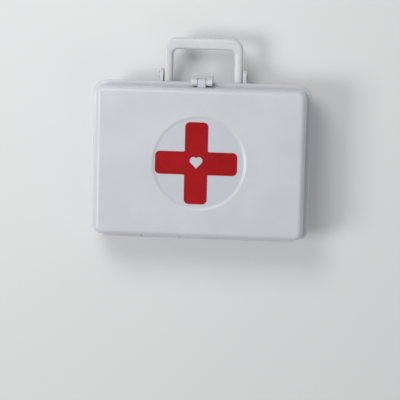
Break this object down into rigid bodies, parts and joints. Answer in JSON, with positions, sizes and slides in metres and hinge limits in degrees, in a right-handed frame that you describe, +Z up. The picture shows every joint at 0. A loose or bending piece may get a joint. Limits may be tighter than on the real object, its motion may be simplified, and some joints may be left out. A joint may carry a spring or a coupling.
{
  "type": "toy doctor case",
  "caption": "Small white moulded toy case with a hinged lid, swing latch, folding carry handle and a red plus label in a round dish on its face.",
  "frame": {"origin": "centre of the base shell's flat back face, on which the case lies", "axes": "+X along the case's width, +Y from the hinge towards the handle, +Z up out of the lid's face"},
  "size_m": [0.12, 0.111, 0.03],
  "materials": {
    "white_plastic": "semi-gloss moulded white",
    "handle_plastic": "semi-gloss moulded white",
    "red_label": "satin red film",
    "pin_wire": "drawn steel wire"
  },
  "bodies": {
    "base": {"base_shell": "white_plastic", "hinge_pin_left": "pin_wire", "hinge_pin_right": "pin_wire", "handle_pin_left": "pin_wire", "handle_pin_right": "pin_wire"},
    "lid": {"lid_shell": "white_plastic", "front_label": "red_label", "latch_pin": "pin_wire"},
    "latch": {"latch_clasp": "handle_plastic"},
    "handle": {"carry_handle": "handle_plastic"}
  },
  "joints": [
    {"name": "lid_hinge", "type": "hinge", "parent": "base", "child": "lid", "pos_m": [0, -0.0416, 0.018], "axis": [1, 0, 0], "range_deg": [0, 175]},
    {"name": "handle_fold", "type": "hinge", "parent": "base", "child": "handle", "pos_m": [0, 0.047, 0.013], "axis": [1, 0, 0], "range_deg": [0, 90]},
    {"name": "latch_swing", "type": "hinge", "parent": "lid", "child": "latch", "pos_m": [0, 0.0437, 0.0226], "axis": [1, 0, 0], "range_deg": [-14, 75]}
  ]
}
